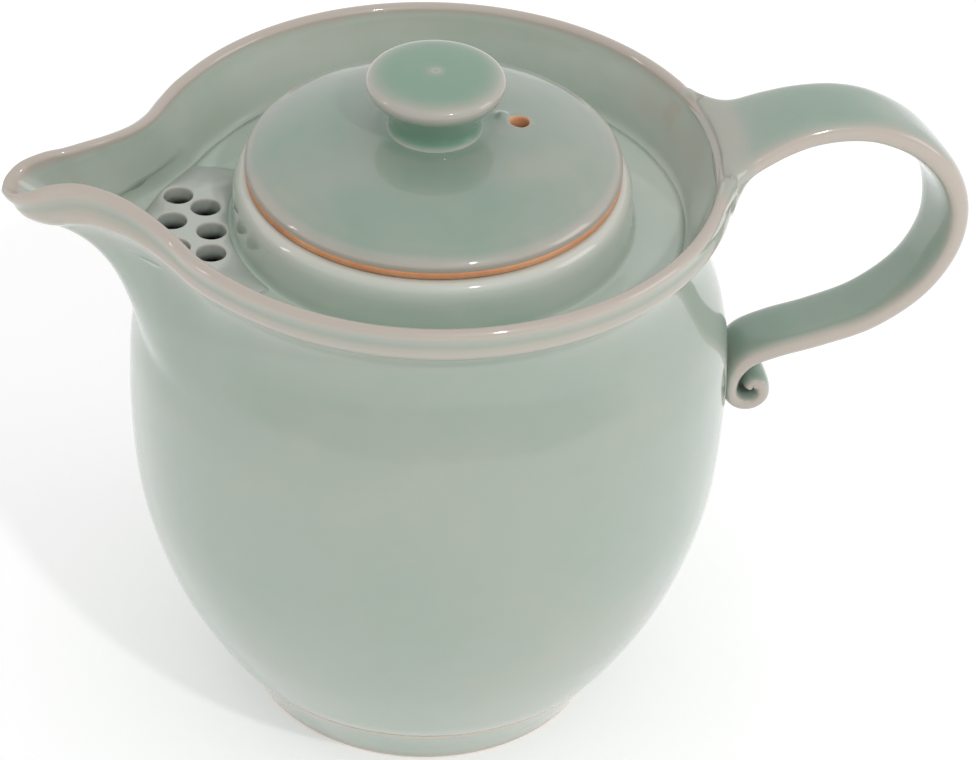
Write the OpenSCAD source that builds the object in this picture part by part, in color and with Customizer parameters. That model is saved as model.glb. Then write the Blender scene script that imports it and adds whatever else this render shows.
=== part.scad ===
// Lidded celadon teapot with a pulled spout, a pierced strainer and a strap handle.
// Frame: origin at the centre of the foot ring on the table, +Z up,
// the spout points along -X and the handle along +X. All sizes in millimetres.

/* [Body] */
// radius of the belly at its widest
belly_r = 48.8; // [40:0.5:60]
// radius of the neck below the rim
neck_r = 43; // [38:0.1:55]
// radius of the rim measured on its crest
rim_r = 46.1; // [40:0.1:56]
// height of the rim crest above the table
rim_z = 101; // [80:0.5:130]
// half the thickness of the rounded lip
lip_half = 1.1; // [0.8:0.1:2]
// wall thickness of the thrown body
wall_t = 3; // [2:0.1:5]

/* [Foot] */
// radius of the ridge where the foot meets the body
foot_top_r = 34.4; // [28:0.1:42]
// height of that ridge
foot_z = 9.5; // [6:0.1:14]
// outer radius of the resting edge
foot_r = 29.4; // [24:0.1:36]
// inner radius of the resting edge
foot_in_r = 26; // [20:0.1:28]
// height of the underside of the floor
floor_under_z = 6; // [4:0.1:8]

/* [Gallery] */
// level of the trough floor between rim and lid
deck_z = 89.5; // [84:0.1:94]
// thickness of the trough floor
deck_t = 3; // [2:0.1:4]
// outer radius of the trough floor, where it is luted to the wall
deck_r = 40.4; // [36:0.1:43]
// outer radius of the collar that carries the lid
collar_r = 31.9; // [29:0.1:34]
// radius of the mouth inside the collar
mouth_r = 27.6; // [22:0.1:29]
// height of the lid seat
seat_z = 98.4; // [94:0.1:100]

/* [Strainer] */
// clear radius of each strainer hole
hole_r = 2.3; // [1:0.1:3]
// half angle of the pierced plate
plate_half_a = 20; // [16:1:24]
// inner radius of the pierced plate
plate_in_r = 32.4; // [32:0.1:34]
// outer radius of the pierced plate
plate_out_r = 45; // [43:0.1:47]
// distance of the inner row of holes from the axis of the pot
row_in = 35.6; // [34:0.1:37]
// distance of the outer row of holes from the axis of the pot
row_out = 40.8; // [39:0.1:42]
// sideways spacing of neighbouring holes
hole_pitch = 6.7; // [5.5:0.1:8]

/* [Spout] */
// half angle of the wall taken up by the spout
spout_half_a = 42; // [36:1:50]
// height at which the spout starts to leave the wall
spout_base_z = 62; // [55:1:70]
// height at which the keel starts to swell
keel_z = 74; // [66:0.5:80]
// how slowly the keel swings outward
keel_power = 1.15; // [1:0.01:2]
// columns of facets in each span of the rim curve
spout_steps = 3; // [1:1:4]

/* [Handle] */
// width of the strap at the top of the loop
strap_w = 14; // [9:0.1:16]
// thickness of the strap
strap_t = 4.4; // [3:0.1:5]
// width of the strap where it leaves the rim
root_w = 23; // [16:0.5:28]
// radius of the rolled end of the strap
curl_r = 2.5; // [2:0.1:4]
// width of the rolled end of the strap
curl_w = 8.8; // [6:0.1:12]
// height at which the tail of the strap starts
tail_z = 56.5; // [55:0.1:58]

/* [Lid] */
// radius of the lid
lid_r = 30; // [28:0.1:32]
// height of the unglazed band round the lid
band_h = 1.5; // [1:0.1:2]
// outer radius of the locating ring under the lid
ring_r = 27.1; // [24:0.1:27.2]
// wall thickness of the locating ring
ring_t = 3; // [2:0.1:4]
// depth of the locating ring below the seat
ring_h = 6.5; // [4:0.1:8]
// height of the dome where it meets the knob
dome_z = 107; // [104:0.1:109]
// radius of the vent hole
vent_r = 1.5; // [1:0.1:2.5]
// distance of the vent hole from the axis
vent_d = 13.7; // [12:0.1:20]
// direction of the vent hole round the lid, from the handle
vent_a = 4; // [-180:1:180]

/* [Knob] */
// radius of the knob head
knob_r = 11; // [9:0.1:13]
// radius of the knob waist
waist_r = 7.6; // [6:0.1:9]
// height of the top of the knob
knob_z = 117.4; // [112:0.1:122]

/* [Hidden] */
$fn = 96;
e = 0.01;
// the handle's root stands this far clear of the wall it is stuck to
fit_gap = 0.06;
lip_z = rim_z - lip_half;

// ---- small helpers --------------------------------------------------------
function clamp(x) = max(0, min(1, x));
function unit(v) = v / norm(v);
function at(p, i) = p[max(0, min(len(p) - 1, i))];
// one point of a smooth curve through four neighbours
function knot(a, b, c, d, t) =
    0.5 * (2 * b + (c - a) * t + (2 * a - 5 * b + 4 * c - d) * t * t
    + (3 * b - a - 3 * c + d) * t * t * t);
// a smooth curve through a list of points, n pieces to a span
function smooth(p, n) = concat(
    [for (i = [0:len(p) - 2]) for (j = [0:n - 1])
        knot(at(p, i - 1), p[i], p[i + 1], at(p, i + 2), j / n)],
    [p[len(p) - 1]]);
function flip(p) = [for (i = [len(p) - 1:-1:0]) p[i]];
function part(p, a, b) = [for (i = [a:b]) p[i]];

// ---- the wall section, [radius, height] ------------------------------------
wall_steps = 3;
outer_knots = [
    [foot_top_r, foot_z], [37, 13], [39.9, 18.2], [42.7, 24], [44.9, 30],
    [46.6, 36], [47.8, 42], [48.5, 49], [48.8, 56], [belly_r, spout_base_z],
    [48.5, 68], [47.9, 72], [46.9, 76], [45.4, 80], [43.9, 84], [43.1, 87.2],
    [neck_r, 90.2], [43.8, 92.8], [45.3, 94.8], [46.9, 96], [47.6, 97.1],
    [47.4, 98.2], [47, 98.8], [47.15, 99.3], [rim_r + lip_half, lip_z]];
inner_knots = [
    [0, 10], [12, 10.2], [22, 10.9], [29, 12.6], [34.6, 16.4], [38.5, 22],
    [41.4, 28.5], [43.4, 35], [44.7, 42], [45.4, 49], [45.8, 56],
    [belly_r - wall_t, spout_base_z], [45.5, 68], [44.3, 74], [42.5, 79.5],
    [41.1, 84], [40.9, 85.7]];
throat_knots = [
    [deck_r + 0.2, deck_z], [41.3, 91.3], [42.6, 93.8], [43.8, 96.4], [44.6, 98.5],
    [rim_r - lip_half, lip_z]];
outer_curve = smooth(outer_knots, wall_steps);
inner_curve = smooth(inner_knots, wall_steps);
throat_curve = smooth(throat_knots, wall_steps);
base_i = 9 * wall_steps;
inner_base_i = 11 * wall_steps;
lip_arc = [for (a = [22.5:22.5:157.5]) [rim_r + lip_half * cos(a), lip_z + lip_half * sin(a)]];
land = [[deck_r, deck_z - deck_t], [deck_r, deck_z]];

body_section = concat(
    outer_curve, lip_arc, flip(throat_curve), flip(land), flip(inner_curve),
    [[0, floor_under_z], [foot_in_r, floor_under_z], [foot_in_r, foot_z]]);

module wedge(half_a, reach, z0, h)
    translate([0, 0, z0])
        linear_extrude(height = h)
            polygon([[0, 0], [-reach, -reach * tan(half_a)], [-reach, reach * tan(half_a)]]);

module solid_wall()
    rotate_extrude()
        polygon(concat(
            [for (p = outer_curve) [p[0] + fit_gap, p[1]]],
            [for (p = lip_arc) if (p[0] > rim_r - 0.1) [p[0] + fit_gap, p[1] + fit_gap]],
            [[0, rim_z + fit_gap], [0, foot_z]]));

// ---- body, foot ------------------------------------------------------------
module pot_body() {
    color([0.64, 0.71, 0.66])
        difference() {
            rotate_extrude()
                polygon(body_section);
            wedge(spout_half_a, 90, spout_base_z, 60);
        }
}

module foot_ring() {
    color([0.70, 0.66, 0.58])
        rotate_extrude()
            polygon([
                [foot_in_r + 0.6, 0], [foot_r - 0.9, 0], [foot_r - 0.3, 0.3],
                [foot_r, 0.9], [30.7, 3], [32.6, 6.2], [34, 8.6],
                [foot_top_r, foot_z], [foot_in_r, foot_z], [foot_in_r, 0.6]]);
}

// ---- trough, collar and strainer ------------------------------------------
module gallery() {
    color([0.56, 0.68, 0.61])
        difference() {
            rotate_extrude()
                polygon([
                    [mouth_r, deck_z - deck_t - 1], [mouth_r + 1, deck_z - deck_t - 1],
                    [mouth_r + 2.2, deck_z - deck_t], [deck_r, deck_z - deck_t],
                    [deck_r, deck_z], [34.5, deck_z], [33.2, deck_z + 0.5],
                    [32.4, deck_z + 1.6], [32, deck_z + 3.2], [collar_r, seat_z - 2],
                    [collar_r - 0.3, seat_z - 0.7], [collar_r - 1, seat_z],
                    [mouth_r + 0.6, seat_z], [mouth_r, seat_z - 0.6]]);
            difference() {
                wedge(plate_half_a, 60, deck_z - deck_t, 5);
                cylinder(r = plate_in_r, h = 300, center = true);
            }
        }
}

// the holes are cut by hand, so neither row is quite even
function hole_places() = [
    [-row_in, hole_pitch + 0.5], [-row_in + 0.9, 0.5], [-row_in - 0.5, -hole_pitch + 1.2],
    [-row_out + 1, hole_pitch + 4.7], [-row_out - 0.4, hole_pitch - 2.6],
    [-row_out - 0.6, -hole_pitch + 3.5], [-row_out + 0.4, -hole_pitch - 2.9]];

module plate_blank()
    intersection() {
        difference() {
            translate([0, 0, deck_z - deck_t])
                cylinder(r = plate_out_r, h = deck_t);
            cylinder(r = plate_in_r, h = 300, center = true);
        }
        wedge(plate_half_a, 60, deck_z - deck_t, deck_t);
    }

module strainer() {
    color([0.56, 0.68, 0.61])
        difference() {
            plate_blank();
            for (p = hole_places())
                translate([p[0], p[1], deck_z - deck_t - 1]) {
                    cylinder(r = hole_r, h = deck_t + 2);
                    translate([0, 0, deck_t + 0.5])
                        cylinder(r1 = hole_r, r2 = hole_r + 0.6, h = 0.6);
                }
        }
}

// ---- spout -----------------------------------------------------------------
// the rim curve seen from above, tip first: [reach, half width, rise]
rim_knots = [
    [67.8, 0, -0.5], [67, 2.5, 0.2], [64.8, 4.25, 1.4], [61.4, 4.6, 2.6],
    [58, 4.9, 3], [54.6, 6.2, 3], [50.4, 8.8, 2.4], [46.4, 12.7, 1.3],
    [43.3, 17.2, 0.4], [40.9, 21.8, 0], [37.9, 26.5, 0],
    [rim_r * cos(spout_half_a), rim_r * sin(spout_half_a), 0]];
half_rim = smooth(rim_knots, spout_steps);
half_n = len(half_rim) - 1;
function mirrored(p) = [p[0], -p[1], p[2]];
full_rim = concat([for (i = [half_n:-1:1]) mirrored(half_rim[i])], half_rim);
full_n = len(full_rim) - 1;
function side_a(i) = (i - half_n) / half_n * spout_half_a;
function plan(v) = [v[0], v[1]];
function run(i) = unit(plan(at(full_rim, i + 1)) - plan(at(full_rim, i - 1)));
// outward normal of the rim curve; the two ends lie in the radial joint planes
function rim_n(i) = (i == 0 || i == full_n)
    ? [cos(side_a(i)), sin(side_a(i))]
    : [run(i)[1], -run(i)[0]];

function swing_out(z) = pow(clamp((z - keel_z) / (rim_z - keel_z)), keel_power);
function swing_in(z) = 0.28 + 0.72 * pow(clamp((z - deck_z) / (rim_z - deck_z)), 0.66);
function rise_out(z) = pow(clamp((z - keel_z) / (rim_z - keel_z)), 2);
function rise_in(z) = pow(clamp((z - deck_z) / (rim_z - deck_z)), 1.2);

// one wall point s = [radius, height] of column i, with its swing g and rise h
function spout_pt(i, s, g, h) =
    let (a = side_a(i))
    let (dir = [cos(a), sin(a)])
    let (pull = plan(full_rim[i]) - rim_r * dir)
    let (aim = unit(dir * (1 - g) + rim_n(i) * g))
    let (mid = rim_r * dir + [pull[0] * g, pull[1] * pow(g, 1.5)])
    let (p = mid + (s[0] - rim_r) * aim)
    [-p[0], p[1], s[1] + full_rim[i][2] * h];

spout_outer = part(outer_curve, base_i, len(outer_curve) - 1);
spout_inner = part(inner_curve, inner_base_i, len(inner_curve) - 1);
lip_half_n = (len(lip_arc) - 1) / 2;
lip_out = part(lip_arc, 0, lip_half_n);
lip_in = flip(part(lip_arc, lip_half_n + 1, len(lip_arc) - 1));

// outer side of column i from the base up to the crest
function col_out(i) = concat(
    [for (s = spout_outer) spout_pt(i, s, swing_out(s[1]), rise_out(s[1]))],
    [for (s = lip_out) spout_pt(i, s, swing_out(s[1]), rise_out(s[1]))]);
// inner side of column i from the base up to the crest
function col_in(i) = concat(
    [for (s = spout_inner) spout_pt(i, s, swing_out(s[1]), 0)],
    [for (s = land) let (a = side_a(i)) let (r = deck_r + 0.02)
        [-r * cos(a), r * sin(a), s[1]]],
    [for (s = throat_curve) spout_pt(i, s, swing_in(s[1]), rise_in(s[1]))],
    [for (s = lip_in) spout_pt(i, s, swing_in(s[1]), rise_in(s[1]))]);

n_out = len(col_out(0));
n_in = len(col_in(0));
loop_n = n_out + n_in;
spout_pts = [for (i = [0:full_n]) for (p = concat(col_out(i), flip(col_in(i)))) p];
function vid(i, j) = i * loop_n + (j % loop_n);
side_faces = [for (i = [0:full_n - 1]) for (j = [0:loop_n - 1])
    for (f = [[vid(i, j), vid(i + 1, j), vid(i + 1, j + 1)],
              [vid(i, j), vid(i + 1, j + 1), vid(i, j + 1)]]) f];
// the two end faces are laced between outer and inner points of like height
out_z = [for (p = col_out(0)) p[2]];
in_z = [for (p = col_in(0)) p[2]];
function lace(k) = k == n_in - 1
    ? n_out - 1
    : max(0, len([for (z = out_z) if (z <= in_z[k] + e) z]) - 1);
end_faces = concat(
    [for (k = [0:n_in - 2]) [lace(k), loop_n - 2 - k, loop_n - 1 - k]],
    [for (k = [0:n_in - 2]) if (lace(k + 1) > lace(k))
        for (j = [lace(k):lace(k + 1) - 1]) [j, j + 1, loop_n - 2 - k]]);

module spout_shell()
    polyhedron(
        points = spout_pts,
        faces = concat(
            side_faces,
            end_faces,
            [for (f = end_faces) [for (v = [f[0], f[2], f[1]]) v + full_n * loop_n]]),
        convexity = 8);

module spout() {
    color([0.66, 0.70, 0.65])
        difference() {
            spout_shell();
            plate_blank();
        }
}

// ---- handle ----------------------------------------------------------------
// centre line of the strap: [reach, height, width, thickness, twist]
strap_knots = [
    [43.2, 97.6, root_w + 5, 3.8, 0], [47, 99.4, root_w, 4.2, 0],
    [50.6, 101.2, root_w - 4, 4.6, 0], [54.9, 103.1, strap_w + 2.6, 4.7, 0],
    [60, 104.4, strap_w + 1.2, strap_t + 0.3, 1], [66, 104.6, strap_w + 0.4, strap_t + 0.3, 2],
    [71.8, 103.2, strap_w, strap_t + 0.2, 4], [77.9, 99.5, strap_w - 0.2, strap_t + 0.2, 7],
    [82.6, 93.6, strap_w - 0.4, strap_t + 0.2, 10], [84.6, 86.8, strap_w - 0.9, strap_t, 11],
    [83.9, 79.2, strap_w - 2, strap_t, 8], [79.8, 71.9, strap_w - 2.4, strap_t, 4],
    [72.6, 66.3, strap_w - 2.7, strap_t, 2], [64.5, 63.4, strap_w - 2.8, strap_t, 0],
    [57.6, 61.7, strap_w - 2.9, strap_t, 0], [52.8, 59.8, strap_w - 3.2, strap_t, 0],
    [50.5, 56.8, strap_w - 3.7, 4, 0], [50.1, 53.6, strap_w - 4.3, 3.4, 0],
    [50.9, 51.3, strap_w - 4.8, 2.8, 0], [52.8, 50.6, curl_w, 2.4, 0],
    [54.2, 51.3, curl_w - 0.4, 1.6, 0]];
strap_line = smooth(strap_knots, 4);
strap_n = len(strap_line) - 1;
ring_n = 20;
function strap_run(i) =
    unit(plan(at(strap_line, i + 1)) - plan(at(strap_line, i - 1)));
function soft(x) = sign(x) * pow(abs(x), 0.62);
// a flat strap section with generously rounded edges
function strap_pt(i, a) =
    let (s = strap_line[i]) let (t = strap_run(i))
    let (h = soft(sin(a)) * s[3] / 2) let (w = soft(cos(a)) * s[2] / 2)
    let (up = h * cos(s[4]) - w * sin(s[4]))
    [s[0] - t[1] * up, w * cos(s[4]) + h * sin(s[4]), s[1] + t[0] * up];
strap_pts = concat(
    [for (i = [0:strap_n]) for (k = [0:ring_n - 1]) strap_pt(i, k * 360 / ring_n)],
    [[strap_line[0][0], 0, strap_line[0][1]],
     [strap_line[strap_n][0], 0, strap_line[strap_n][1]]]);
function sid(i, k) = i * ring_n + (k % ring_n);
strap_faces = concat(
    [for (i = [0:strap_n - 1]) for (k = [0:ring_n - 1])
        for (f = [[sid(i, k), sid(i + 1, k), sid(i + 1, k + 1)],
                  [sid(i, k), sid(i + 1, k + 1), sid(i, k + 1)]]) f],
    [for (k = [0:ring_n - 1]) [(strap_n + 1) * ring_n, sid(0, k), sid(0, k + 1)]],
    [for (k = [0:ring_n - 1])
        [(strap_n + 1) * ring_n + 1, sid(strap_n, k + 1), sid(strap_n, k)]]);

module strap()
    polyhedron(points = strap_pts, faces = strap_faces, convexity = 8);

module tail_space()
    translate([44, -20, tail_z - 20])
        cube([20, 40, 20]);

module handle() {
    color([0.60, 0.69, 0.63])
        difference() {
            strap();
            solid_wall();
            translate([0, 0, lip_z - 3])
                cylinder(r = rim_r, h = 20);
            tail_space();
        }
}

module handle_curl() {
    color([0.68, 0.68, 0.63])
        difference() {
            union() {
                intersection() {
                    strap();
                    tail_space();
                }
                translate([54.2, curl_w / 2, 52.6])
                    rotate([90, 0, 0])
                        rotate_extrude()
                            polygon([
                                [0, 0], [curl_r - 0.8, 0], [curl_r - 0.2, 0.3],
                                [curl_r, 0.9], [curl_r, curl_w - 0.9],
                                [curl_r - 0.2, curl_w - 0.3], [curl_r - 0.8, curl_w],
                                [0, curl_w]]);
            }
            solid_wall();
        }
}

// ---- lid -------------------------------------------------------------------
band_z = seat_z + band_h;
dome_knots = [
    [lid_r, band_z], [lid_r + 0.05, band_z + 0.8], [lid_r - 0.4, band_z + 1.5],
    [lid_r - 1.6, band_z + 2.15], [27, 102.9], [23, 104.3], [18.5, 105.5], [14, 106.3],
    [10.5, 106.8], [waist_r, dome_z]];
dome_curve = smooth(dome_knots, 3);
soffit_knots = [[0, 103.4], [10, 103.1], [18, 102], [24.1, band_z]];

module lid_edge() {
    color([0.80, 0.52, 0.32])
        rotate_extrude()
            polygon([
                [ring_r - ring_t, seat_z], [lid_r - 0.5, seat_z],
                [lid_r - 0.1, seat_z + 0.4], [lid_r, band_z],
                [ring_r - ring_t, band_z]]);
}

module lid_flange() {
    color([0.72, 0.70, 0.62])
        rotate_extrude()
            polygon([
                [ring_r - ring_t, seat_z - ring_h + 0.5],
                [ring_r - ring_t + 0.5, seat_z - ring_h],
                [ring_r - 0.8, seat_z - ring_h], [ring_r, seat_z - ring_h + 0.8],
                [ring_r, seat_z], [ring_r - ring_t, seat_z]]);
}

module lid_dome() {
    color([0.60, 0.70, 0.64])
        difference() {
            rotate_extrude()
                polygon(concat(dome_curve, [[0, dome_z]], smooth(soffit_knots, 3)));
            rotate([0, 0, vent_a])
                translate([vent_d, 0, 90])
                    cylinder(r = vent_r, h = 30);
        }
}

module lid_knob() {
    color([0.55, 0.67, 0.60])
        rotate_extrude()
            polygon(concat(
                [[0, dome_z]],
                smooth([
                    [waist_r, dome_z], [waist_r - 0.3, 108.3], [waist_r, 109.8],
                    [8.6, 111.6], [10, 113.2], [knob_r - 0.1, 114.5],
                    [knob_r, 115.4], [knob_r - 0.5, 116.3], [knob_r - 2, 116.9],
                    [6, 117.3], [0, knob_z]], 3)));
}

pot_body();
foot_ring();
gallery();
strainer();
spout();
handle();
handle_curl();
lid_edge();
lid_flange();
lid_dome();
lid_knob();
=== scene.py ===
"""Lidded celadon teapot: a thrown pot with a pulled spout, a strainer, a strap handle and a domed lid."""

import math

import bmesh
import bpy
from mathutils import Matrix, Vector
from mathutils.bvhtree import BVHTree


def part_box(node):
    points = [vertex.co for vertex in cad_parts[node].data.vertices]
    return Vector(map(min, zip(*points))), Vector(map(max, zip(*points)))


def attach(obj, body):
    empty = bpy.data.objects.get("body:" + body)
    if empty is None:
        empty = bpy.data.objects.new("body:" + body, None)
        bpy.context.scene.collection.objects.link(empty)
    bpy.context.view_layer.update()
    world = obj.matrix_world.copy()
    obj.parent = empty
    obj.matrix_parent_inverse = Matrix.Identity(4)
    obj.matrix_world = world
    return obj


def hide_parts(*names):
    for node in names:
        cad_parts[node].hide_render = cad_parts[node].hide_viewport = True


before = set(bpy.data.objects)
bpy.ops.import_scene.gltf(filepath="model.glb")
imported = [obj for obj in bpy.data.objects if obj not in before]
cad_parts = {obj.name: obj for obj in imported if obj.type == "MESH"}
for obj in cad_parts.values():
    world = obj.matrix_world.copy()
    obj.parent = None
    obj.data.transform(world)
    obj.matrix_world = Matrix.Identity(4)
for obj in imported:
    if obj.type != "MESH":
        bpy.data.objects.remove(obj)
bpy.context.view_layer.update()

MM = 0.001


def top_of(node):
    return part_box(node)[1].z / MM


def radius_of(node):
    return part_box(node)[1].y / MM


# ---- driving sizes, in millimetres -------------------------------------------------
# the rim: its top, the radius of its middle line, and the radius and centre of its round lip
RIM_Z = top_of("pot_body")
RIM_R = 46.1
LIP = 1.1
LIP_Z = RIM_Z - LIP
# the trough: its floor's top and underside, its edges, and the collar, mouth and seat inside it
DECK_Z = top_of("strainer")
DECK_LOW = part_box("strainer")[0].z / MM
FLOOR_IN = 32.6
FLOOR_OUT = 40.4
COLLAR_R = 31.9
MOUTH_R = 27.6
SEAT_Z = top_of("gallery")
# the belly, the level where the spout's sector begins, and the top of the foot
BELLY_R = radius_of("pot_body")
BASE_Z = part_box("spout")[0].z / MM
FOOT_Z = top_of("foot_ring")
# the lid: the top of its bare edge, its dome and its knob, its radius, and its flange
BAND_Z = top_of("lid_edge")
DOME_Z = 107.0
KNOB_Z = top_of("lid_knob")
LID_R = radius_of("lid_edge")
FLANGE_R = radius_of("lid_flange")
FLANGE_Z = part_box("lid_flange")[0].z / MM
# the spout: degrees from its middle to its joint, where the pull begins, and the trough's share of it
SPOUT_A = 42.0
KEEL_Z = 74.0
DECK_PULL = 0.28
# the strainer: degrees from its middle to its sides, and its hand-cut holes with their rounded lips
PLATE_A = 30.0
HOLE_R = 2.3
HOLE_LIP = 0.42
HOLES = (
    (-35.6, 7.2), (-35.4, 0.5), (-36.1, -5.5), (-39.6, 11.0), (-41.3, 4.1), (-41.5, -3.2), (-40.4, -9.6))
# the lid's vent, the height of its mouth, a level between the dome's two skins, and a blister beside it
VENT = (13.7, 0.9)
VENT_R = 1.5
VENT_TOP = 106.3
BETWEEN_SKINS = 104.5
BLISTER = (11.0, 2.0)
# steps that a first slice of thrown clay turns through
SLICE_STEPS = 15
# how the glaze lies where it pools, over the handle's joints and at the handle's root
POOL_LIE = -0.06
JOINT_LIE = 0.11
ROOT_LIE = 0.13


# ---- curves ------------------------------------------------------------------------
def between(a, b, c, d, t):
    """One point of a smooth curve, t of the way from b to c."""
    return tuple(
        0.5 * (2 * q + (r - p) * t + (2 * p - 5 * q + 4 * r - s) * t * t + (3 * q - p - 3 * r + s) * t**3)
        for p, q, r, s in zip(a, b, c, d)
    )


def smooth(points, pieces):
    """A smooth curve through the points, with that many pieces to a span."""
    last = len(points) - 1
    curve = [
        between(points[max(i - 1, 0)], points[i], points[i + 1], points[min(i + 2, last)], j / pieces)
        for i in range(last)
        for j in range(pieces)
    ]
    return curve + [tuple(float(x) for x in points[-1])]


def clamp(x):
    return min(max(x, 0.0), 1.0)


def ease(x):
    x = clamp(x)
    return x * x * (3 - 2 * x)


def along(curve, x):
    """The point at place x, counted in points, of a curve."""
    i = min(int(x), len(curve) - 2)
    t = x - i
    return tuple(a + (b - a) * t for a, b in zip(curve[i], curve[i + 1]))


# ---- sections of the thrown clay, (radius, height) --------------------------------
# pieces to a span of the outer and the inner curve
OUTER_STEPS = 5
INNER_STEPS = 3
OUTER = smooth(
    [(34.4, FOOT_Z), (36.6, 12.4), (39.9, 18.2), (42.7, 24), (44.9, 30), (46.6, 36), (47.8, 42),
     (48.5, 49), (48.8, 56), (BELLY_R - 0.05, BASE_Z), (48.5, 68), (47.9, 72), (46.9, 76), (45.4, 80),
     (43.9, 84), (43.1, 87.2), (43.0, 90.2), (43.8, 92.8), (45.3, 94.8), (46.9, 96.0),
     (47.6, 97.1), (47.5, 98.1), (47.2, 98.8), (47.15, 99.3), (RIM_R + LIP, LIP_Z)], OUTER_STEPS)
# the outer curve's point at the level where the spout's sector begins
OUTER_BASE = 9 * OUTER_STEPS
LIP_ARC = [
    (RIM_R + LIP * math.cos(math.radians(a)), LIP_Z + LIP * math.sin(math.radians(a)))
    for a in range(15, 180, 15)
]
THROAT = smooth(
    [(RIM_R - LIP, LIP_Z), (44.65, 98.5), (43.9, 96.4), (42.9, 93.8), (41.9, 91.5), (41.2, 90.2),
     (FLOOR_OUT, DECK_Z), (FLOOR_OUT - 0.8, DECK_Z)], 4)[:-4]
LAND = [(FLOOR_OUT, DECK_LOW + 1.5), (FLOOR_OUT, DECK_LOW)]
INNER = smooth(
    [(40.9, 85.7), (41.1, 84), (42.5, 79.5), (44.3, 74), (45.5, 68), (45.8, BASE_Z), (45.8, 56),
     (45.4, 49), (44.7, 42), (43.4, 35), (41.4, 28.5), (38.5, 22), (34.6, 16.4), (29, 12.6),
     (22, 10.9), (12, 10.2), (0, 10)], INNER_STEPS)
# the inner curve's point at that level
INNER_BASE = 5 * INNER_STEPS
UNDER = [(0, 6), (12, 6), (25.2, 6), (25.8, 6.2), (26, 6.8), (26, FOOT_Z)]
COLLAR = smooth(
    [(FLOOR_IN + 1, DECK_Z), (FLOOR_IN, DECK_Z + 0.02), (32.15, DECK_Z + 0.45), (31.98, DECK_Z + 1.4),
     (COLLAR_R, DECK_Z + 3.4), (31.85, SEAT_Z - 3), (31.6, SEAT_Z - 1.7), (31.15, SEAT_Z - 0.8),
     (30.5, SEAT_Z - 0.2), (29.8, SEAT_Z), (29, SEAT_Z)], 4)[4:-4]
MOUTH = smooth(
    [(28.8, SEAT_Z), (28.1, SEAT_Z - 0.15), (MOUTH_R, SEAT_Z - 0.8), (MOUTH_R, SEAT_Z - 4),
     (MOUTH_R, DECK_LOW + 0.6), (28.1, DECK_LOW - 0.8), (29.2, DECK_LOW - 0.8), (30.8, DECK_LOW)], 3)
FLOOR_ROW = [(FLOOR_IN + (FLOOR_OUT - FLOOR_IN) * k / 8, DECK_Z) for k in range(8, 0, -1)]


def glaze_lie(points, reach=1.5):
    """How far each point of a closed section stands out of its own softened outline, in millimetres."""
    p = [Vector(q) for q in points]
    n = len(p)
    lie = []
    for i in range(n):
        total, weight = Vector((0, 0)), 0.0
        for side in (-1, 1):
            run, j = 0.0, i
            while run < 3 * reach:
                k = (j + side) % n
                step = (p[k] - p[j]).length
                pieces = max(1, int(step / 0.25))
                for m in range(pieces):
                    share = (m + 0.5) / pieces
                    w = math.exp(-(((run + step * share) / reach) ** 2)) * step / pieces
                    total += p[j].lerp(p[k], share) * w
                    weight += w
                run += step
                j = k
        turn = p[(i + 1) % n] - p[(i - 1) % n]
        out = Vector((turn.y, -turn.x)).normalized()
        lie.append((p[i] - total / weight).dot(out) if p[i].x > 0.01 else 0.0)
    return lie


# ---- how far each height of the wall follows the spout ------------------------------
# the spout's rim from above, tip first: reach, half width, rise
RIM_LINE = smooth(
    [(67.8, 0, -0.5), (67, 2.5, 0.2), (64.8, 4.25, 1.4), (61.4, 4.6, 2.6), (58, 4.9, 3),
     (54.6, 6.2, 3), (50.4, 8.8, 2.4), (46.4, 12.7, 1.3), (43.3, 17.2, 0.4), (40.9, 21.8, 0),
     (37.9, 26.5, 0),
     (RIM_R * math.cos(math.radians(SPOUT_A)), RIM_R * math.sin(math.radians(SPOUT_A)), 0)], 8)


def swing_outside(z):
    high = clamp((z - KEEL_Z) / (RIM_Z - KEEL_Z))
    return high**1.15, high**2


def swing_inside(z):
    high = clamp((z - DECK_Z) / (RIM_Z - DECK_Z))
    return DECK_PULL + (1 - DECK_PULL) * high**0.66, high**1.2


def swing_floor(radius):
    """How far the trough's floor follows the spout at a radius."""
    return DECK_PULL * clamp((radius - FLOOR_IN) / (FLOOR_OUT - FLOOR_IN))


def rim_side(share):
    """Outward direction of the spout's rim, from 0 at the tip to 1 at the joint with the pot."""
    step = 0.6
    x = share * (len(RIM_LINE) - 1)
    a = along(RIM_LINE, max(x - step, 0))
    b = along(RIM_LINE, min(x + step, len(RIM_LINE) - 1.001))
    turn = Vector((b[0] - a[0], b[1] - a[1]))
    if x < step:
        turn = turn.lerp(Vector((0, turn.length)), 1 - x / step)
    side = Vector((turn.y, -turn.x)).normalized()
    joint = Vector((math.cos(math.radians(SPOUT_A)), math.sin(math.radians(SPOUT_A))))
    return side.lerp(joint, ease((share - 0.9) / 0.1)).normalized()


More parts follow.
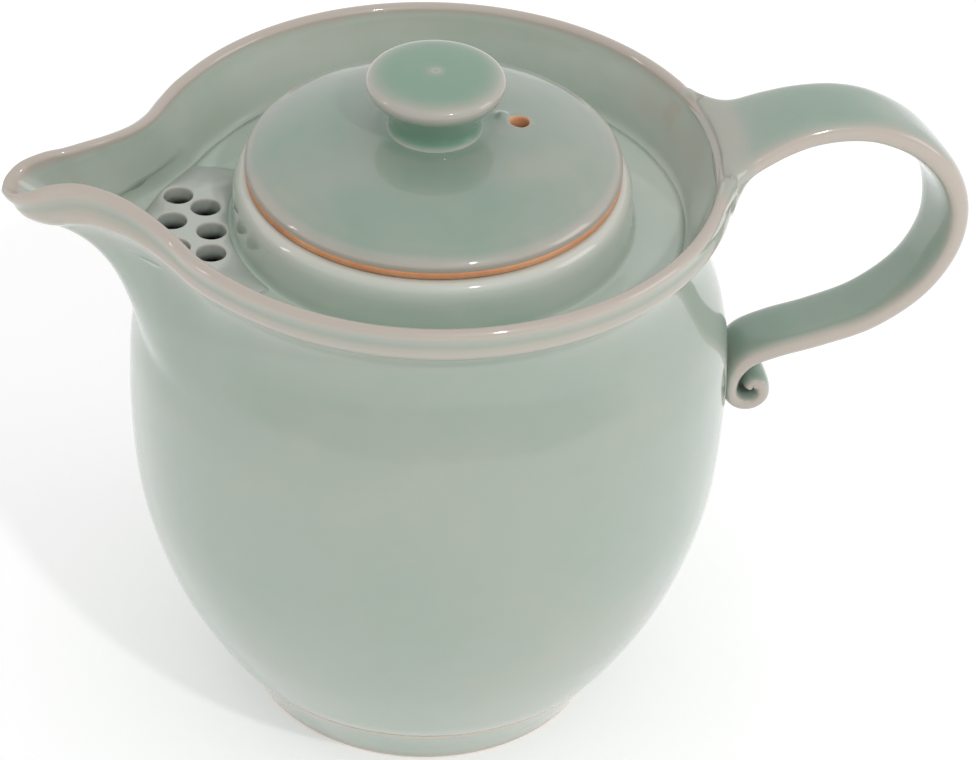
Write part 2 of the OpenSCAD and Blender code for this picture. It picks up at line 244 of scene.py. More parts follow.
def pull_spout(bm):
    """Pulls the round wall out into the spout, each point by its own swing and rise."""
    swing_lay = bm.verts.layers.float["swing"]
    rise_lay = bm.verts.layers.float["rise"]
    for v in bm.verts:
        swing = v[swing_lay]
        angle = math.degrees(math.atan2(v.co.y, -v.co.x))
        if swing <= 0 or abs(angle) >= SPOUT_A:
            continue
        side = -1 if angle < 0 else 1
        share = abs(angle) / SPOUT_A
        reach, half, rise = along(RIM_LINE, share * (len(RIM_LINE) - 1))
        ray = Vector((math.cos(math.radians(abs(angle))), math.sin(math.radians(abs(angle)))))
        radius = Vector((v.co.x, v.co.y)).length / MM
        # the edge of the trough's floor is let out a little, to give the outer holes room
        if abs(v.co.z / MM - DECK_Z) < 2.6 and radius < 42.3:
            radius += 1.2 * ease((34 - abs(angle)) / 14) * ease((radius - 39) / 1.4)
        pull = Vector((reach, half)) - ray * RIM_R
        aim = (ray * (1 - swing) + rim_side(share) * swing).normalized()
        place = ray * RIM_R + Vector((pull.x * swing, pull.y * swing**1.5)) + aim * (radius - RIM_R)
        v.co = Vector((-place.x * MM, side * place.y * MM, v.co.z + rise * v[rise_lay] * MM))


# ---- making and finishing pieces ----------------------------------------------------
def new_clay():
    """An empty surface with a place for what each point and face carries."""
    bm = bmesh.new()
    for name in ("glaze", "swing", "rise", "around", "along"):
        bm.verts.layers.float.new(name)
    bm.verts.layers.float_vector.new("lay")
    bm.faces.layers.int.new("part")
    return bm


def section_of(points, swings=None):
    """A closed section with its glaze, and how far each point follows the spout."""
    swings = swings or [(0.0, 0.0)] * len(points)
    return [(p[0], p[1], g, s[0], s[1]) for p, g, s in zip(points, glaze_lie(points), swings)]


def spin_clay(bm, section, start=0.0, sweep=360.0, doublings=4, closed=True, part=0):
    """Turns a section about the pot's axis: a first slice, then doubled until it fills the sweep."""
    slice_bm = new_clay()
    layers = [slice_bm.verts.layers.float[n] for n in ("glaze", "swing", "rise")]
    c = math.cos(math.radians(start))
    s = math.sin(math.radians(start))
    chain = []
    for r, z, *values in section:
        v = slice_bm.verts.new((r * c * MM, r * s * MM, z * MM))
        for lay, value in zip(layers, values):
            v[lay] = value
        chain.append(v)
    ends = chain[1:] + chain[:1] if closed else chain[1:]
    edges = [slice_bm.edges.new(pair) for pair in zip(chain, ends)]
    turned = math.radians(sweep) / 2**doublings
    bmesh.ops.spin(
        slice_bm, geom=chain + edges, cent=(0, 0, 0), axis=(0, 0, 1), angle=turned,
        steps=SLICE_STEPS, use_merge=False, use_duplicate=False)
    for _ in range(doublings):
        whole = list(slice_bm.verts) + list(slice_bm.edges) + list(slice_bm.faces)
        made = bmesh.ops.duplicate(slice_bm, geom=whole)
        copies = [g for g in made["geom"] if isinstance(g, bmesh.types.BMVert)]
        bmesh.ops.rotate(slice_bm, verts=copies, cent=(0, 0, 0), matrix=Matrix.Rotation(turned, 3, "Z"))
        turned *= 2
    part_lay = slice_bm.faces.layers.int["part"]
    for f in slice_bm.faces:
        f[part_lay] = part
    carrier = bpy.data.meshes.new("carrier")
    slice_bm.to_mesh(carrier)
    slice_bm.free()
    bm.from_mesh(carrier)
    bpy.data.meshes.remove(carrier)


def draw_out(bm, edges):
    """Extrudes a row of edges, and gives the new row's points and edges."""
    made = bmesh.ops.extrude_edge_only(bm, edges=edges)["geom"]
    verts = [g for g in made if isinstance(g, bmesh.types.BMVert)]
    fresh = set(verts)
    return verts, [g for g in made if isinstance(g, bmesh.types.BMEdge) and set(g.verts) <= fresh]


def join_clay(bm):
    """Closes the seams and poles of spun clay, and turns its faces outwards."""
    bmesh.ops.remove_doubles(bm, verts=bm.verts, dist=2e-6)
    loose = [e for e in bm.edges if not e.link_faces]
    bmesh.ops.delete(bm, geom=loose, context="EDGES")
    bmesh.ops.recalc_face_normals(bm, faces=bm.faces)


def keep_normals(bm):
    """Notes the whole surface's normals, so that pieces cut from it meet without a line."""
    bm.normal_update()
    lay = bm.verts.layers.float_vector["lay"]
    for v in bm.verts:
        v[lay] = v.normal


def piece_of(bm, part):
    """One part of a whole surface, closed where it was cut."""
    piece = bm.copy()
    part_lay = piece.faces.layers.int["part"]
    others = [f for f in piece.faces if f[part_lay] != part]
    bmesh.ops.delete(piece, geom=others, context="FACES")
    cut = [e for e in piece.edges if e.is_boundary]
    level = [e for e in cut if all(abs(v.co.z / MM - BASE_Z) < 0.01 for v in e.verts)]
    closed = []
    if level:
        closed += bmesh.ops.bridge_loops(piece, edges=level)["faces"]
    cut = [e for e in piece.edges if e.is_boundary]
    if cut:
        closed += bmesh.ops.holes_fill(piece, edges=cut, sides=0)["faces"]
    for f in closed:
        f[part_lay] = -1
    bmesh.ops.recalc_face_normals(piece, faces=piece.faces)
    return piece


def show(bm, name, body, node, materials, kept=False):
    """Makes the finished piece an object that rides on its body and stands for its node.

    A piece cut from a whole surface keeps that surface's normals, so that its neighbour meets it
    without a line.
    """
    mesh = bpy.data.meshes.new(name)
    bm.to_mesh(mesh)
    bm.free()
    for material in materials:
        mesh.materials.append(material)
    mesh.shade_smooth()
    if kept:
        lay = mesh.attributes["lay"].data
        part = mesh.attributes["part"].data
        normals = [(0.0, 0.0, 0.0)] * len(mesh.loops)
        for polygon in mesh.polygons:
            for i in polygon.loop_indices:
                if part[polygon.index].value < 0:
                    normals[i] = tuple(polygon.normal)
                else:
                    normals[i] = tuple(lay[mesh.loops[i].vertex_index].vector)
        mesh.normals_split_custom_set(normals)
    for spare in ("swing", "rise", "around", "along", "lay", "part"):
        if spare in mesh.attributes:
            mesh.attributes.remove(mesh.attributes[spare])
    piece = bpy.data.objects.new(name, mesh)
    bpy.context.scene.collection.objects.link(piece)
    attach(piece, body)
    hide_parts(node)
    return piece


# ---- the pot ------------------------------------------------------------------------
def pool(lie, share):
    """The glaze's lie, moved towards a pool by a share."""
    return lie + (POOL_LIE - lie) * share


def pot_section():
    """The wall's closed section: outside, lip, throat, land for the trough, inside and underside."""
    rows = [(p, swing_outside(p[1])) for p in OUTER]
    rows += [(p, swing_outside(p[1]) if p[0] > RIM_R else swing_inside(p[1])) for p in LIP_ARC]
    rows += [(p, swing_inside(p[1])) for p in THROAT]
    rows += [(p, (DECK_PULL, 0.0)) for p in LAND]
    rows += [(p, (swing_outside(p[1])[0], 0.0)) for p in INNER]
    rows += [(p, (0.0, 0.0)) for p in UNDER]
    section = section_of([r[0] for r in rows], [r[1] for r in rows])
    # the glaze runs thin towards the outside of the rim, and pools towards the trough
    crest = len(OUTER) + len(LIP_ARC) // 2
    thinned = [
        (r, z, 0.45 * lie + 0.1 * ease((z - 82) / 16), swing, rise)
        for r, z, lie, swing, rise in section[:crest]
    ]
    pooled = [
        (r, z, pool(lie, ease((94.5 - z) / 3)) if r > 38 and z > 88 else lie, swing, rise)
        for r, z, lie, swing, rise in section[crest:]
    ]
    return thinned + pooled


def mark_throat(bm):
    """Gives the faces inside the rim, above the trough's floor, the second finish: a glaze painted lighter,
    as painted light for the light that reaches in there.
    """
    for f in bm.faces:
        c = f.calc_center_median()
        if c.z / MM > DECK_Z - 0.2 and f.normal.x * c.x + f.normal.y * c.y < 0:
            f.material_index = 1


def throw_pot():
    """The whole pot in one surface: part 1 is the body, part 2 the spout."""
    section = pot_section()
    inside = len(OUTER) + len(LIP_ARC) + len(THROAT) + len(LAND)
    pole = inside + len(INNER)
    cut = inside + INNER_BASE
    upper = section[OUTER_BASE:cut + 1]
    lower_inside = section[cut:pole]
    lower_outside = section[pole:] + section[:OUTER_BASE + 1]
    bm = new_clay()
    for rows in (upper, lower_inside, lower_outside):
        spin_clay(bm, rows, 180 + SPOUT_A, 360 - 2 * SPOUT_A, closed=False, part=1)
    for rows, part in ((lower_inside, 1), (lower_outside, 1), (upper, 2)):
        spin_clay(bm, rows, 180 - SPOUT_A, 2 * SPOUT_A, closed=False, part=part)
    join_clay(bm)
    mark_throat(bm)
    pull_spout(bm)
    bm.normal_update()
    return bm


def throw_foot():
    """The turned foot, with soft edges where it stands."""
    bm = new_clay()
    points = smooth(
        [(26.6, 0.1), (27.2, 0), (28.5, 0), (29.1, 0.25), (29.4, 0.9), (29.75, 1.6), (30.7, 3.2),
         (32.1, 5.6), (33.4, 7.7), (34.05, 8.8), (34.4, FOOT_Z)], 4)
    points = [(r, max(z, 0)) for r, z in points]
    points += [(30, FOOT_Z), (26, FOOT_Z), (26, 5), (26, 0.9), (26.1, 0.4)]
    spin_clay(bm, section_of(points))
    join_clay(bm)
    return bm


def cut_gallery():
    """The trough's floor with the collar that carries the lid, notched for the strainer."""
    bm = new_clay()
    top = FLOOR_ROW + COLLAR + MOUTH
    swings = [(swing_floor(r), 0.0) for r, z in FLOOR_ROW]
    swings += [(0.0, 0.0)] * (len(COLLAR) + len(MOUTH))
    whole = section_of(
        top + [(FLOOR_IN, DECK_LOW), (FLOOR_OUT, DECK_LOW)], swings + [(0.0, 0.0), (DECK_PULL, 0.0)])
    whole = [
        (r, z, pool(lie, ease((DECK_Z + 2.5 - z) / 2)), swing, rise)
        for r, z, lie, swing, rise in whole
    ]
    notch = whole[len(FLOOR_ROW):-1]
    spin_clay(bm, whole, 180 + PLATE_A, 360 - 2 * PLATE_A)
    spin_clay(bm, notch, 180 - PLATE_A, 2 * PLATE_A, doublings=2)
    join_clay(bm)
    caps = [e for e in bm.edges if e.is_boundary]
    bmesh.ops.holes_fill(bm, edges=caps, sides=0)
    pull_spout(bm)
    bmesh.ops.recalc_face_normals(bm, faces=bm.faces)
    return bm


def outline(bm, points, z):
    """A closed row of edges through the points, at one height."""
    chain = [bm.verts.new((x * MM, y * MM, z * MM)) for x, y in points]
    return [bm.edges.new(pair) for pair in zip(chain, chain[1:] + chain[:1])]


def plate_outline():
    """The strainer's outline from above, with its outer side pulled towards the spout."""
    probe = new_clay()
    swing_lay = probe.verts.layers.float["swing"]
    side = [r for r, z in FLOOR_ROW] + [FLOOR_IN]
    places = [(r, -PLATE_A) for r in side[:0:-1]]
    places += [(FLOOR_OUT, PLATE_A * k / 60) for k in range(-60, 61)]
    places += [(r, PLATE_A) for r in side[1:]]
    places += [(FLOOR_IN, PLATE_A * k / 30) for k in range(29, -30, -1)]
    for r, angle in places:
        a = math.radians(180 + angle)
        v = probe.verts.new((r * math.cos(a) * MM, r * math.sin(a) * MM, DECK_Z * MM))
        v[swing_lay] = swing_floor(r)
    pull_spout(probe)
    points = [(v.co.x / MM, v.co.y / MM) for v in probe.verts]
    probe.free()
    return points


def pierce_strainer():
    """A plate with hand-cut holes, whose edges the glaze has rounded over."""
    bm = new_clay()
    glaze_lay = bm.verts.layers.float["glaze"]
    border = outline(bm, plate_outline(), DECK_Z)
    rings = []
    for x, y in HOLES:
        made = bmesh.ops.create_circle(
            bm, cap_ends=False, segments=40, radius=(HOLE_R + HOLE_LIP) * MM,
            matrix=Matrix.Translation((x * MM, y * MM, DECK_Z * MM)))
        rings.append(list({e for v in made["verts"] for e in v.link_edges}))
    every = border + [e for ring in rings for e in ring]
    bmesh.ops.triangle_fill(bm, use_beauty=True, use_dissolve=False, edges=every, normal=(0, 0, 1))
    # each ring of a hole's lip: how far it stands out of the hole, its lift, and how the glaze lies
    lips = [(0.36, 0.0, 0.0), (0.29, 0.05, 0.1), (0.21, 0.06, 0.25), (0.13, 0.0, 0.35), (0.06, -0.14, 0.3),
            (0.02, -0.34, 0.2), (0.0, -0.6, 0.0), (0.0, -1.5, -0.1), (0.0, DECK_LOW - DECK_Z, 0.0)]
    bottoms = []
    for (x, y), ring in zip(HOLES, rings):
        edges = ring
        for grow, lift, lie in lips:
            verts, edges = draw_out(bm, edges)
            for v in verts:
                out = Vector((v.co.x - x * MM, v.co.y - y * MM)).normalized() * (HOLE_R + grow) * MM
                v.co = Vector((x * MM + out.x, y * MM + out.y, (DECK_Z + lift) * MM))
                v[glaze_lay] = lie
        bottoms += edges
    low, low_edges = draw_out(bm, border)
    for v in low:
        v.co.z = DECK_LOW * MM
    bmesh.ops.triangle_fill(
        bm, use_beauty=True, use_dissolve=False, edges=low_edges + bottoms, normal=(0, 0, -1))
    join_clay(bm)
    return bm


# ---- the strap handle ---------------------------------------------------------------
# rings to a span of the strap's centre line, and its points: reach, height, width, thickness, twist
STRAP_STEPS = 9
STRAP_LINE = smooth(
    [(45.5, 98.7, 27, 3.7, 0), (47.2, 99.6, 23, 4.1, 0), (50.6, 101.2, 19, 4.5, 0),
     (54.9, 103.1, 16.6, 4.6, 0), (60, 104.4, 15.2, 4.7, 1), (66, 104.6, 14.4, 4.7, 2),
     (71.8, 103.2, 14, 4.6, 4), (77.9, 99.5, 13.8, 4.6, 7), (82.6, 93.6, 13.6, 4.6, 10),
     (84.6, 86.8, 13.1, 4.4, 11), (83.9, 79.2, 12, 4.4, 8), (79.8, 71.9, 11.6, 4.4, 4),
     (72.6, 66.3, 11.3, 4.4, 2), (64.5, 63.4, 11.2, 4.4, 0), (57.6, 61.7, 11.1, 4.4, 0),
     (52.8, 59.8, 10.8, 4.4, 0), (50.5, 56.8, 10.3, 3.9, 0), (50.1, 53.6, 9.6, 3.2, 0),
     (50.7, 51.5, 9.2, 2.9, 0), (52.2, 50.2, 9, 2.8, 0), (54.2, 50.2, 8.9, 2.9, 0),
     (55.6, 51.5, 8.8, 3.0, 0), (55.4, 53.4, 8.6, 3.0, 0), (54.0, 54.0, 8.2, 2.8, 0),
     (53.3, 53.0, 7.6, 2.2, 0)], STRAP_STEPS)
# the ring where the curl begins
TAIL_I = 16 * STRAP_STEPS


def strap_point(i, around):
    """One point of the strap's surface: a flat section with softly rounded edges."""
    reach, height, width, thick, twist = STRAP_LINE[i]
    ahead = STRAP_LINE[min(i + 1, len(STRAP_LINE) - 1)]
    behind = STRAP_LINE[max(i - 1, 0)]
    turn = Vector((ahead[0] - behind[0], ahead[1] - behind[1])).normalized()
    s = math.sin(around)
    c = math.cos(around)
    up = math.copysign(abs(s) ** 0.66, s) * thick / 2
    wide = math.copysign(abs(c) ** 0.66, c) * width / 2
    t = math.radians(twist)
    lift = up * math.cos(t) - wide * math.sin(t)
    across = wide * math.cos(t) + up * math.sin(t)
    x = reach - turn.y * lift
    # near the rim the strap's end bends round the pot
    bend = ease((56 - reach) / 10) * (height > 90)
    x -= bend * (RIM_R - math.sqrt(max(RIM_R**2 - across**2, 1)))
    return Vector((x, across, height + turn.x * lift)) * MM


def pull_strap():
    """The strap drawn out ring by ring: part 1 is the handle, part 2 the curl at its tail."""
    bm = new_clay()
    around_lay = bm.verts.layers.float["around"]
    along_lay = bm.verts.layers.float["along"]
    glaze_lay = bm.verts.layers.float["glaze"]
    part_lay = bm.faces.layers.int["part"]
    made = bmesh.ops.create_circle(bm, cap_ends=True, segments=44, radius=MM)
    for v in made["verts"]:
        v[around_lay] = math.atan2(v.co.y, v.co.x)
    edges = list(bm.edges)
    for i in range(1, len(STRAP_LINE)):
        count = len(bm.faces)
        verts, edges = draw_out(bm, edges)
        for v in verts:
            v[along_lay] = i
        bm.faces.ensure_lookup_table()
        for k in range(count, len(bm.faces)):
            bm.faces[k][part_lay] = 1 if i <= TAIL_I else 2
    bm.faces.ensure_lookup_table()
    bm.faces[0][part_lay] = 1
    end = bmesh.ops.holes_fill(bm, edges=edges, sides=0)
    for f in end["faces"]:
        f[part_lay] = 2
    for v in bm.verts:
        v.co = strap_point(int(v[along_lay] + 0.5), v[around_lay])
        edge = abs(math.cos(v[around_lay]))
        root = ease(1.4 - v[along_lay] / 18)
        v[glaze_lay] = (0.34 * edge**5 - 0.09 * (1 - edge**2)) * (1 - root) + ROOT_LIE * root
    bmesh.ops.recalc_face_normals(bm, faces=bm.faces)
    bm.normal_update()
    return bm


def wet_joint(bm, tree, reach_high, reach_low):
    """Flows one piece's clay into another's, as a joint that is smoothed with a wet finger.

    The reach goes from low, at the handle's lower joint, to high, at the rim. Only the handle's side of
    the pot takes part, and a point whose nearest clay faces the pot's axis stays where it is.
    """
    moves = []
    glaze_lay = bm.verts.layers.float["glaze"]
    for v in bm.verts:
        if v.co.x / MM < 30:
            continue
        reach = (reach_low + (reach_high - reach_low) * ease((v.co.z / MM - 70) / 20)) * MM
        spot, normal, _, away = tree.find_nearest(v.co, reach)
        if spot is None or normal.x < -0.2:
            continue
        # clay that stands outside the other piece swells, most where they meet
        outside = (v.co - spot).dot(normal) > 0
        if away > 1e-6:
            normal = (v.co - spot).normalized() * (1 if outside else -1)
        if outside:
            h = 1 - away / reach
            step = h * h * reach / 4
        else:
            h = 1.0
            step = reach / 4 * clamp(1 - 2 * away / reach)
        slope = v.normal * (1 - h / 2) + normal * (h / 2)
        facing = ease((v.normal.x + 0.8) / 0.7)
        moves.append((v, slope * step * facing / max(slope.length_squared, 0.3), ease(h * 1.6)))
    for v, move, share in moves:
        v.co += move
        v[glaze_lay] += (JOINT_LIE - v[glaze_lay]) * share


# ---- the lid ------------------------------------------------------------------------
def dome_top():
    """The dome's upper section, from its bare edge to the foot of the knob."""
    return smooth(
        [(LID_R - 0.1, BAND_Z), (LID_R, BAND_Z + 0.5), (LID_R - 0.15, BAND_Z + 1.1), (29.2, 101.7),
         (28.2, 102.25), (26.6, 103.0), (23, 104.3), (18.5, 105.5), (14, 106.3), (10.5, 106.75),
         (8.6, 106.85), (7.6, DOME_Z)], 7)


def shape_dome():
    """The hollow dome with its vent, and a small blister in the glaze beside it."""
    bm = new_clay()
    soffit = smooth([(0, 103.4), (10, 103.1), (18, 102), (23.4, 100.1), (24.1, BAND_Z)], 12)
    points = dome_top() + [(7.2, 107.3), (0, 107.3)] + soffit
    section = section_of(points)
    pole = len(dome_top()) + 2
    spin_clay(bm, section[pole:] + section[:pole], closed=False)
    join_clay(bm)
    for v in bm.verts:
        if v.co.z / MM > 104:
            away = Vector((v.co.x / MM - BLISTER[0], v.co.y / MM - BLISTER[1])).length
            bead = 0.75 * math.exp(-((away / 1.0) ** 2))
            skirt = 0.15 * math.exp(-((away / 2.4) ** 2))
            v.co.z += (bead + skirt) * MM
    pierce_vent(bm)
    return bm


def open_round(bm, high, radius):
    """Opens a round hole over the vent in the upper or the lower skin, and gives its edges."""
    x, y = VENT
    spare = []
    for f in bm.faces:
        c = f.calc_center_median() / MM
        inside = Vector((c.x - x, c.y - y)).length < radius
        if inside and (c.z > BETWEEN_SKINS) == high:
            spare.append(f)
    bmesh.ops.delete(bm, geom=spare, context="FACES")
    edges = [e for e in bm.edges if e.is_boundary and (e.verts[0].co.z / MM > BETWEEN_SKINS) == high]
    for v in {v for e in edges for v in e.verts}:
        out = Vector((v.co.x / MM - x, v.co.y / MM - y)).normalized() * radius
        v.co.x = (x + out.x) * MM
        v.co.y = (y + out.y) * MM
    return edges


def pierce_vent(bm):
    """The vent through the dome: a rounded mouth in the glaze, and bare clay below it."""
    x, y = VENT
    low = open_round(bm, False, VENT_R)
    edges = open_round(bm, True, VENT_R + 0.45)
    glaze_lay = bm.verts.layers.float["glaze"]
    for grow, drop, lie in ((0.22, 0.1, 0.35), (0.06, 0.3, 0.3), (0.0, 0.6, 0.1), (0.0, 1.6, 0.0)):
        verts, edges = draw_out(bm, edges)
        for v in verts:
            out = Vector((v.co.x / MM - x, v.co.y / MM - y)).normalized() * (VENT_R + grow)
            v.co.x = (x + out.x) * MM
            v.co.y = (y + out.y) * MM
            v.co.z = (VENT_TOP - drop) * MM
            v[glaze_lay] = lie
        if drop > 0.2:
            for f in {f for e in edges for f in e.link_faces}:
                f.material_index = 1
    made = bmesh.ops.bridge_loops(bm, edges=edges + low)
    for f in made["faces"]:
        f.material_index = 1
    bmesh.ops.recalc_face_normals(bm, faces=bm.faces)


def throw_knob():
    """The knob: a narrow waist under a flared, softly domed head."""
    bm = new_clay()
    points = smooth(
        [(7.6, DOME_Z - 0.1), (7.3, 108.1), (7.45, 109.4), (8.3, 111.2), (9.6, 112.9), (10.6, 114.1),
         (11, 115.2), (10.75, 116.1), (9.8, 116.75), (8, 117.1), (4, 117.35), (0, KNOB_Z)], 6)
    section = section_of([(0, DOME_Z - 0.4)] + points)
    spin_clay(bm, section, closed=False)
    join_clay(bm)
    return bm


def turn_edge_band():
    """The bare edge that the lid rests on."""
    bm = new_clay()
    points = [(24.1, SEAT_Z + 0.02), (28.9, SEAT_Z + 0.02), (29.5, SEAT_Z + 0.1), (29.8, SEAT_Z + 0.3),
              (29.92, SEAT_Z + 0.6), (LID_R - 0.05, SEAT_Z + 1), (LID_R - 0.1, BAND_Z), (24.1, BAND_Z)]
    spin_clay(bm, section_of(points))
    join_clay(bm)
    return bm


def turn_flange():
    """The ring under the lid that keeps it in the mouth."""
    bm = new_clay()
    inner = FLANGE_R - 3
    points = [(inner, FLANGE_Z + 0.6), (inner + 0.2, FLANGE_Z + 0.2), (inner + 0.6, FLANGE_Z),
              (FLANGE_R - 0.9, FLANGE_Z), (FLANGE_R - 0.3, FLANGE_Z + 0.25), (FLANGE_R, FLANGE_Z + 0.8),
              (FLANGE_R, SEAT_Z + 0.02), (inner, SEAT_Z + 0.02)]
    spin_clay(bm, section_of(points))
    join_clay(bm)
    return bm


# ---- finishes -----------------------------------------------------------------------
def blank(name):
    """A new material, with its nodes and links."""
    material = bpy.data.materials.new(name)
    material.use_nodes = True
    return material, material.node_tree.nodes, material.node_tree.links


def noise(nodes, links, place, scale, detail, rough=0.55):
    """A cloudy pattern that is fixed to the clay."""
    tex = nodes.new("ShaderNodeTexNoise")
    tex.inputs["Scale"].default_value = scale
    tex.inputs["Detail"].default_value = detail
    tex.inputs["Roughness"].default_value = rough
    links.new(place.outputs["Object"], tex.inputs["Vector"])
    return tex.outputs["Fac"]


def sums(nodes, links, how, a, b):
    """One step of arithmetic between two sockets or numbers."""
    node = nodes.new("ShaderNodeMath")
    node.operation = how
    for socket, value in zip(node.inputs, (a, b)):
        if isinstance(value, (int, float)):
            socket.default_value = value
        else:
            links.new(value, socket)
    return node.outputs[0]


def celadon(name, body, pooled, thin, greener=0.0, cloudy=0.34):
    """Celadon glaze: green where it pools, pale over the body, and warm where it runs thin over an edge.

    greener moves the whole piece towards the pooled colour, and cloudy sets how far the broad patches go.
    """
    material, nodes, links = blank(name)
    shader = nodes["Principled BSDF"]
    place = nodes.new("ShaderNodeTexCoord")
    lie = nodes.new("ShaderNodeAttribute")
    lie.attribute_name = "glaze"
    cloud = noise(nodes, links, place, scale=28, detail=3)
    mottle = noise(nodes, links, place, scale=150, detail=5, rough=0.6)
    depth = sums(nodes, links, "MULTIPLY", lie.outputs["Fac"], 1.7)
    drift = sums(nodes, links, "MULTIPLY", sums(nodes, links, "SUBTRACT", cloud, 0.5), cloudy)
    grain = sums(nodes, links, "MULTIPLY", sums(nodes, links, "SUBTRACT", mottle, 0.5), 0.16)
    total = sums(nodes, links, "ADD", sums(nodes, links, "ADD", depth, drift), grain)
    total = sums(nodes, links, "ADD", total, 0.5 - greener)
    ramp = nodes.new("ShaderNodeValToRGB")
    stops = ramp.color_ramp.elements
    stops[0].position = 0.12
    stops[0].color = (*pooled, 1)
    stops[1].position = 0.95
    stops[1].color = (*thin, 1)
    middle = stops.new(0.5)
    middle.color = (*body, 1)
    links.new(total, ramp.inputs["Fac"])
    links.new(ramp.outputs["Color"], shader.inputs["Base Color"])
    ripple = noise(nodes, links, place, scale=60, detail=2)
    pores = noise(nodes, links, place, scale=900, detail=2)
    skin = sums(nodes, links, "ADD", ripple, sums(nodes, links, "MULTIPLY", pores, 0.03))
    bump = nodes.new("ShaderNodeBump")
    bump.inputs["Strength"].default_value = 0.16
    bump.inputs["Distance"].default_value = 0.0012
    links.new(skin, bump.inputs["Height"])
    links.new(bump.outputs["Normal"], shader.inputs["Coat Normal"])
    links.new(bump.outputs["Normal"], shader.inputs["Normal"])
    shader.inputs["Roughness"].default_value = 0.4
    shader.inputs["Coat Weight"].default_value = 1.0
    shader.inputs["Coat Roughness"].default_value = 0.05
    shader.inputs["Coat IOR"].default_value = 1.52
    return material


def bare_clay(name, pale, toasted, rough):
    """Unglazed stoneware, toasted where the kiln reached it."""
    material, nodes, links = blank(name)
    shader = nodes["Principled BSDF"]
    place = nodes.new("ShaderNodeTexCoord")
    patch = noise(nodes, links, place, scale=90, detail=4)
    grit = noise(nodes, links, place, scale=1600, detail=3, rough=0.7)
    speckle = sums(nodes, links, "MULTIPLY", grit, 0.12)
    ramp = nodes.new("ShaderNodeValToRGB")
    stops = ramp.color_ramp.elements
    stops[0].position = 0.3
    stops[0].color = (*toasted, 1)
    stops[1].position = 0.7
    stops[1].color = (*pale, 1)
    links.new(sums(nodes, links, "ADD", patch, speckle), ramp.inputs["Fac"])
    links.new(ramp.outputs["Color"], shader.inputs["Base Color"])
    bump = nodes.new("ShaderNodeBump")
    bump.inputs["Strength"].default_value = 0.35
    bump.inputs["Distance"].default_value = 0.0003
    links.new(grit, bump.inputs["Height"])
    links.new(bump.outputs["Normal"], shader.inputs["Normal"])
    shader.inputs["Roughness"].default_value = rough
    return material


# the glaze over most of the pot, where it pools, and where it runs thin
BODY = (0.308, 0.368, 0.310)
POOLED = (0.205, 0.300, 0.235)
THIN = (0.46, 0.40, 0.345)
glaze_body = celadon("glaze over the body", BODY, POOLED, THIN)
glaze_spout = celadon("glaze over the spout", BODY, POOLED, THIN)
glaze_foot = celadon("glaze on the foot", BODY, (0.20, 0.30, 0.23), (0.52, 0.42, 0.34), greener=0.03)
# painted light: the wall inside the rim gets a lighter copy of the glaze, to stand in for light reaching
# into the hollow
glaze_throat_painted_lighter = celadon("glaze inside the rim, painted lighter for light", (0.46, 0.50, 0.44), (0.33, 0.45, 0.36), THIN, cloudy=0.7)
# painted light: the trough's glaze is a lighter copy of the body's, to stand in for light falling into the
# shaded trough
glaze_trough_painted_lighter = celadon(
    "glaze in the trough, painted lighter for light", (0.53, 0.59, 0.52), (0.36, 0.49, 0.40), (0.60, 0.60, 0.54),
    greener=0.03, cloudy=0.9)
# painted light: the strainer's glaze is lightened like the trough floor it lies in, to stand in for light
# falling there
glaze_strainer_painted_lighter = celadon(
    "glaze round the strainer holes, painted lighter for light", (0.55, 0.58, 0.53), (0.44, 0.51, 0.45), (0.60, 0.57, 0.52))
glaze_handle = celadon("glaze on the handle", BODY, (0.19, 0.31, 0.23), THIN, cloudy=0.8)
glaze_curl = celadon("glaze on the curl", BODY, POOLED, THIN)
glaze_lid = celadon(
    "glaze on the lid", (0.27, 0.325, 0.27), (0.15, 0.29, 0.21), (0.44, 0.40, 0.35),
    greener=0.03, cloudy=1.1)
glaze_knob = celadon(
    "glaze on the knob", (0.17, 0.295, 0.21), (0.13, 0.26, 0.175), (0.40, 0.38, 0.33), greener=0.03)
clay_band = bare_clay("toasted clay of the lid's edge", (0.75, 0.36, 0.18), (0.55, 0.20, 0.08), rough=0.6)
clay_flange = bare_clay("bare clay of the lid's flange", (0.62, 0.50, 0.38), (0.55, 0.36, 0.22), rough=0.75)
clay_vent = bare_clay("toasted clay in the vent", (0.80, 0.48, 0.28), (0.62, 0.30, 0.14), rough=0.6)


# ---- the pieces ---------------------------------------------------------------------
def make_pot_and_handle():
    """The pot and its strap are shaped whole and joined wet, and then cut into their pieces."""
    pot = throw_pot()
    strap = pull_strap()
    pot_skin = BVHTree.FromBMesh(pot)
    strap_skin = BVHTree.FromBMesh(strap)
    wet_joint(pot, strap_skin, reach_high=5.0, reach_low=2.6)
    wet_joint(strap, pot_skin, reach_high=5.0, reach_low=2.6)
    keep_normals(pot)
    keep_normals(strap)
    walls = [glaze_body, glaze_throat_painted_lighter]
    show(piece_of(pot, 1), "pot_body_glazed", "pot", "pot_body", walls, kept=True)
    walls = [glaze_spout, glaze_throat_painted_lighter]
    show(piece_of(pot, 2), "spout_glazed", "pot", "spout", walls, kept=True)
    show(piece_of(strap, 1), "strap_handle", "pot", "handle", [glaze_handle], kept=True)
    show(
        piece_of(strap, 2), "handle_curl_rolled", "pot", "handle_curl", [glaze_curl],
        kept=True)
    pot.free()
    strap.free()


def make_pot_fittings():
    show(throw_foot(), "foot_ring_turned", "pot", "foot_ring", [glaze_foot])
    show(cut_gallery(), "gallery_and_collar", "pot", "gallery", [glaze_trough_painted_lighter])
    show(pierce_strainer(), "strainer_pierced", "pot", "strainer", [glaze_strainer_painted_lighter])


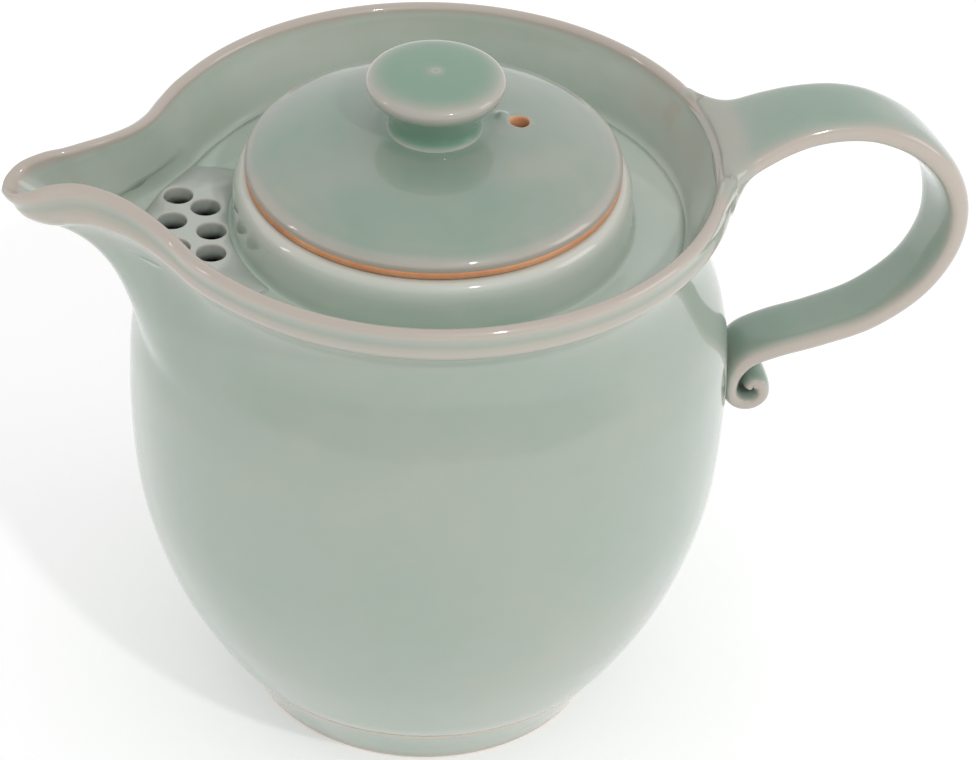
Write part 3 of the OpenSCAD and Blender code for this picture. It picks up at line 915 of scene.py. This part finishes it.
def make_lid():
    show(turn_edge_band(), "lid_bare_edge", "lid", "lid_edge", [clay_band])
    show(turn_flange(), "lid_locating_flange", "lid", "lid_flange", [clay_flange])
    show(shape_dome(), "lid_dome_glazed", "lid", "lid_dome", [glaze_lid, clay_vent])
    show(throw_knob(), "lid_knob_thrown", "lid", "lid_knob", [glaze_knob])


make_pot_and_handle()
make_pot_fittings()
make_lid()


# ---- floor, camera and light -----------------------------------------------------------
def make_floor():
    """A wide, pale floor that glows a little."""
    bm = bmesh.new()
    bmesh.ops.create_circle(bm, cap_ends=True, segments=96, radius=3.0)
    mesh = bpy.data.meshes.new("studio_floor")
    bm.to_mesh(mesh)
    bm.free()
    material, nodes, _ = blank("pale floor")
    surface = nodes["Principled BSDF"].inputs
    surface["Base Color"].default_value = (0.92, 0.92, 0.92, 1)
    surface["Roughness"].default_value = 0.8
    surface["Emission Color"].default_value = (1, 1, 1, 1)
    surface["Emission Strength"].default_value = 0.22
    mesh.materials.append(material)
    floor = bpy.data.objects.new("studio_floor", mesh)
    bpy.context.scene.collection.objects.link(floor)


def aim(thing, place, target, roll=0.0):
    """Stands a camera or lamp at a place and points it at a target."""
    thing.location = place
    turn = (Vector(target) - Vector(place)).to_track_quat("-Z", "Y")
    thing.rotation_euler = (turn.to_matrix() @ Matrix.Rotation(math.radians(roll), 3, "Z")).to_euler()


def make_camera():
    """A long lens that looks down on the pot, a little from its left, and leans a little."""
    data = bpy.data.cameras.new("camera")
    data.sensor_width = 36
    data.lens = 160.7
    data.clip_start = 0.01
    camera = bpy.data.objects.new("camera", data)
    bpy.context.scene.collection.objects.link(camera)
    middle = Vector((0, 0, 0.05))
    distance = 0.72
    azimuth = math.radians(-9.5)
    rise = math.radians(37.37)
    lean = 2.1
    back = Vector((math.sin(azimuth) * math.cos(rise), -math.cos(azimuth) * math.cos(rise), math.sin(rise)))
    right = Vector((math.cos(azimuth), math.sin(azimuth), 0))
    up = back.cross(right)
    tilt = math.radians(lean)
    across = right * math.cos(tilt) + up * math.sin(tilt)
    upward = up * math.cos(tilt) - right * math.sin(tilt)
    aim(camera, middle + back * distance, middle + across * 0.0101 + upward * 0.0055, lean)
    bpy.context.scene.camera = camera


def lamp(name, place, target, size, power, tall=None):
    """A soft lamp: a disk, or a panel when it is given a height."""
    data = bpy.data.lights.new(name, "AREA")
    data.shape = "RECTANGLE" if tall else "DISK"
    data.size = size
    if tall:
        data.size_y = tall
    data.energy = power
    light = bpy.data.objects.new(name, data)
    bpy.context.scene.collection.objects.link(light)
    aim(light, place, target)


def light_studio():
    """An even white surround, with a small key and two panels at the sides for the glaze to mirror."""
    world = bpy.data.worlds.new("studio")
    bpy.context.scene.world = world
    world.use_nodes = True
    sky = world.node_tree.nodes["Background"].inputs
    sky["Color"].default_value = (1.0, 1.0, 1.0, 1)
    sky["Strength"].default_value = 0.8
    lamp("small key", (0.34, -1.0, 1.15), (0, 0, 0.08), size=0.09, power=4.0)
    lamp("right panel", (1.1, -0.25, 0.5), (0, 0, 0.07), size=0.5, power=1.6, tall=0.5)
    lamp("left slit", (-0.95, 0.1, 0.42), (0, 0, 0.09), size=0.06, power=0.35, tall=0.3)
    bpy.context.scene.view_settings.view_transform = "Standard"


make_floor()
make_camera()
light_studio()
